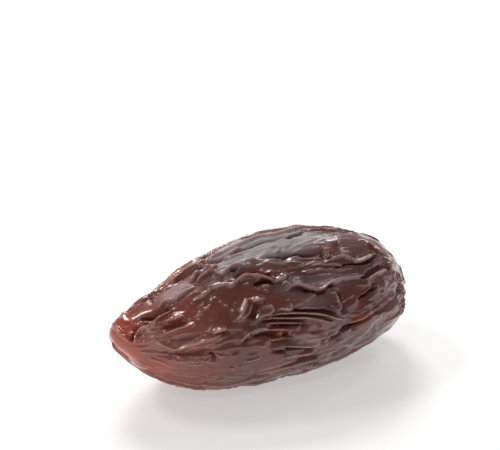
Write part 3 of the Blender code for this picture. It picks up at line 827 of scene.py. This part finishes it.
class Finish:
    def __init__(self, name):
        self.material = bpy.data.materials.new(name)
        self.material.use_nodes = True
        self.nodes = self.material.node_tree.nodes
        self.links = self.material.node_tree.links
        self.shader = self.nodes["Principled BSDF"]

    def fill(self, node, sockets):
        for name, value in sockets.items():
            if isinstance(value, Wire):
                self.links.new(value.socket, node.inputs[name])
            else:
                node.inputs[name].default_value = value

    def add(self, kind, settings=None, sockets=None, output=0):
        node = self.nodes.new(kind)
        for name, value in (settings or {}).items():
            setattr(node, name, value)
        self.fill(node, sockets or {})
        return Wire(self, node.outputs[output])

    def mix(self, factor, first, second):
        sockets = {0: factor, 6: first, 7: second}     # 6 and 7 are the colours
        return self.add("ShaderNodeMix", {"data_type": "RGBA"}, sockets, 2)

    def largest(self, first, second):
        return self.add("ShaderNodeMath", {"operation": "MAXIMUM"}, {0: first, 1: second})

    def attribute(self, name):
        return self.add("ShaderNodeAttribute", {"attribute_name": name}, output=2)     # as a number

    def noise(self, place, scale, detail=2.0, roughness=0.5, distortion=0.0):
        return self.add("ShaderNodeTexNoise", {}, {
            "Vector": place, "Scale": scale, "Detail": detail, "Roughness": roughness,
            "Distortion": distortion})

    def rise(self, value, low, high):          # 0 below low, 1 above high
        return self.add("ShaderNodeMapRange", {"interpolation_type": "SMOOTHSTEP"},
                        {"Value": value, "From Min": low, "From Max": high})


skinLooks = {
    "flesh": (0.160, 0.021, 0.010, 1),
    "brown": (0.105, 0.018, 0.009, 1),
    # painted shade for hollows, thin cuts and the strips below the edges
    "creaseShade": (0.085, 0.006, 0.003, 1),
    # grey bloom, partly a painted sheen
    "bloomAndSheen": (0.340, 0.285, 0.300, 1),
    # pink bloom, partly painted reflection of the lights and the floor
    "blushAndReflection": (0.380, 0.205, 0.195, 1),
    # paler dry skin on the crests, partly a painted highlight
    "edge": (0.460, 0.290, 0.240, 1),
    # orange clear flesh, partly a painted glow of light through the skin
    "nose": (0.480, 0.066, 0.024, 1),
    "bloomAndSheenShare": 0.75,      # how much of each colour covers the ones before it
    "blushAndReflectionShare": 0.70,
    "noseShare": 0.85,
    "creaseShadeShare": 0.80,
    "cutShadeShare": 0.70,
    "cheekShare": 0.40,
    "bloomAndSheenMottle": (0.55, 0.90),     # the least, and what the noise adds to it
    "blushAndReflectionMottle": (0.45, 0.70),
    "edgeMottle": (0.30, 0.60),
    "raisedDrynessAndSheen": (0.06, 0.40),
    "patchScale": 160,       # of the noises, per metre
    "cheekScale": 200,
    "drynessScale": 220,
    "tipScale": 300,
    "mottleScale": 700,
    "fineScale": 2600,
    "patches": (0.38, 0.62),
    "dryness": (0.45, 0.70),
    "deep": (0.05, 0.55),    # mm under the level round about, where hollows are painted with shade
    "raised": (0.02, 0.45),  # mm over it
    "cut": (0.03, 0.20),     # mm, where thin cuts and the strips just below the edges are painted with shade
    "edges": (0.07, 0.20),
    "tip": (-0.115, -0.03),  # share of the length, counted back from the nose
    "cheek": (-0.42, -0.06),
    "tipWaver": 0.02,
    "cheekWaver": 0.10,
    "roughness": 0.22,
    "roughMottle": 0.12,     # what the mottle, the creases and the bloom add to it
    "roughDeep": 0.20,
    "roughDry": 0.24,
    "specular": 0.50,
    "subsurface": 0.20,
    "subsurfaceRadius": (0.0025, 0.0007, 0.0004),
    "coat": 0.80,
    "coatDeep": 0.70,        # what the creases and the bloom take from it
    "coatDry": 0.80,
    "coatRoughness": 0.08,
    "bump": 0.00006,
}


def skinFinish():
    looks = skinLooks
    f = Finish("date_skin")
    place = f.add("ShaderNodeTexCoord", output=3)      # the object's own coordinates
    relief = f.attribute("relief")
    along = f.attribute("along")
    mottle = f.noise(place, looks["mottleScale"], 3, 0.6)
    patches = f.rise(f.noise(place, looks["patchScale"], 3), *looks["patches"])
    dryness = f.rise(f.noise(place, looks["drynessScale"], 3), *looks["dryness"])
    deep = f.rise(relief * -1, *looks["deep"])
    raised = f.rise(relief, *looks["raised"])
    tip = along * -1 + looks["tipWaver"] * f.noise(place, looks["tipScale"])
    tip = f.rise(tip, *looks["tip"])
    cheek = along * -1 + looks["cheekWaver"] * f.noise(place, looks["cheekScale"])
    cheek = f.rise(cheek, *looks["cheek"])
    cut = f.rise(f.attribute("cut"), *looks["cut"])
    edge = f.rise(f.attribute("edge"), *looks["edges"])
    # Bloom and paler raised skin, partly a painted sheen where the lights reflect on panels and crests
    # that face up
    dryAndSheen = f.attribute("bloomAndSheen") * mottle.swing(*looks["bloomAndSheenMottle"])
    dryAndSheen = f.largest(dryAndSheen, raised * dryness.swing(*looks["raisedDrynessAndSheen"]))
    # Pink: partly a pink bloom, partly painted reflection of the lights and the bright floor
    pink = f.attribute("blushAndReflection") * mottle.swing(*looks["blushAndReflectionMottle"])
    # Orange clear flesh at the nose, and patches of painted glow where light shines through the skin
    clearAndGlow = f.largest(f.largest(tip, f.attribute("ripeAndGlow")), cheek * looks["cheekShare"])
    color = f.mix(patches, looks["flesh"], looks["brown"])
    color = f.mix(dryAndSheen * looks["bloomAndSheenShare"], color, looks["bloomAndSheen"])
    color = f.mix(pink * looks["blushAndReflectionShare"], color, looks["blushAndReflection"])
    color = f.mix(clearAndGlow * looks["noseShare"], color, looks["nose"])
    # Painted shade: hollows, thin cuts and the strips just below the edges take the crease colour
    color = f.mix(deep * looks["creaseShadeShare"], color, looks["creaseShade"])
    color = f.mix(cut * looks["cutShadeShare"], color, looks["creaseShade"])
    # Pale thin edges: partly paler dry skin, partly a painted highlight along the crests
    color = f.mix(edge * mottle.swing(*looks["edgeMottle"]), color, looks["edge"])
    rough = looks["roughness"] + looks["roughMottle"] * (mottle - 0.5)
    fine = f.noise(place, looks["fineScale"], 4, 0.6, 0.3)
    bump = {"Strength": 1.0, "Distance": looks["bump"], "Height": fine}
    f.fill(f.shader, {
        "Base Color": color,
        "Roughness": rough + looks["roughDeep"] * deep + looks["roughDry"] * dryAndSheen,
        "Normal": f.add("ShaderNodeBump", sockets=bump),
        "Specular IOR Level": looks["specular"],
        "Coat Weight": looks["coat"] * (1 - looks["coatDeep"] * deep) * (1 - looks["coatDry"] * dryAndSheen),
        "Coat Roughness": looks["coatRoughness"],
        "Subsurface Weight": looks["subsurface"],
        "Subsurface Radius": looks["subsurfaceRadius"],
        "Subsurface Scale": 1.0,
    })
    return f.material


skin = makeSkin()
skin.data.materials.append(skinFinish())
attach(skin, "root")
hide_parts(fruit["node"])
print("skin made:", len(skin.data.polygons), "faces")


# Floor, light and camera

studio = {
    "floorSize": 6.0,
    "floorColor": (0.74, 0.73, 0.725, 1),
    "floorGlow": 0.42,
    "floorRoughness": 0.55,
    "floorSpecular": 0.2,
    "worldColor": (1.0, 1.0, 1.0, 1),
    "worldStrength": 0.25,
    "camera": {
        "azimuth": -26.0,
        "elevation": 30.0,
        "distance": 0.25,
        "lens": 104.4,       # mm, on a sensor of that width
        "sensor": 36.0,
        "clipStart": 0.01,
        "centre": (0.0005, 0.0, 0.01127),
        "aimUp": 0.01445,
        "aimRight": -0.0022,
    },
    "lights": [              # name, place, width and height, radiance, colour
        ("main", (0.08, 0.38, 0.46), (0.22, 0.14), 17.0, (1.0, 0.99, 0.98)),
        ("behind", (0.36, 0.80, 0.36), (0.45, 0.34), 2.5, (0.96, 0.98, 1.0)),
        ("left", (-0.26, 0.22, 0.46), (0.14, 0.08), 18.0, (1.0, 0.98, 0.95)),
        ("right", (0.36, 0.08, 0.42), (0.08, 0.16), 4.0, (1.0, 0.98, 0.96)),
        ("front", (-0.30, -0.28, 0.48), (0.16, 0.08), 7.0, (1.0, 0.98, 0.96)),
    ],
}


def floor():
    bm = bmesh.new()
    bmesh.ops.create_grid(bm, x_segments=1, y_segments=1, size=studio["floorSize"] / 2)
    mesh = bpy.data.meshes.new("floor")
    bm.to_mesh(mesh)
    bm.free()
    ground = bpy.data.objects.new("floor", mesh)
    bpy.context.scene.collection.objects.link(ground)
    f = Finish("floor")
    f.fill(f.shader, {
        "Base Color": studio["floorColor"],
        "Roughness": studio["floorRoughness"],
        "Specular IOR Level": studio["floorSpecular"],
        "Emission Color": (1, 1, 1, 1),
        "Emission Strength": studio["floorGlow"],
    })
    mesh.materials.append(f.material)


def world():
    scene = bpy.context.scene
    scene.world = bpy.data.worlds.new("studio")
    scene.world.use_nodes = True
    background = scene.world.node_tree.nodes["Background"]
    background.inputs["Color"].default_value = studio["worldColor"]
    background.inputs["Strength"].default_value = studio["worldStrength"]
    scene.view_settings.view_transform = "Standard"
    scene.view_settings.look = "None"


def lights():
    for name, place, (width, height), radiance, color in studio["lights"]:
        data = bpy.data.lights.new(name, "AREA")
        data.shape = "RECTANGLE"
        data.size = width
        data.size_y = height
        data.energy = radiance * math.pi * width * height
        data.color = color
        lamp = bpy.data.objects.new(name, data)
        lamp.location = place
        lamp.rotation_euler = (-Vector(place)).to_track_quat("-Z", "Y").to_euler()
        bpy.context.scene.collection.objects.link(lamp)


def camera():
    c = studio["camera"]
    azimuth = math.radians(c["azimuth"])
    elevation = math.radians(c["elevation"])
    back = Vector((math.sin(azimuth) * math.cos(elevation), -math.cos(azimuth) * math.cos(elevation),
                   math.sin(elevation)))
    right = Vector((math.cos(azimuth), math.sin(azimuth), 0))
    up = back.cross(right)
    centre = Vector(c["centre"])
    data = bpy.data.cameras.new("camera")
    data.lens = c["lens"]
    data.sensor_width = c["sensor"]
    data.clip_start = c["clipStart"]
    eye = bpy.data.objects.new("camera", data)
    eye.location = centre + c["distance"] * back
    aim = centre + c["aimUp"] * up + c["aimRight"] * right
    eye.rotation_euler = (aim - eye.location).to_track_quat("-Z", "Y").to_euler()
    bpy.context.scene.collection.objects.link(eye)
    bpy.context.scene.camera = eye


floor()
world()
lights()
camera()
print("studio set")
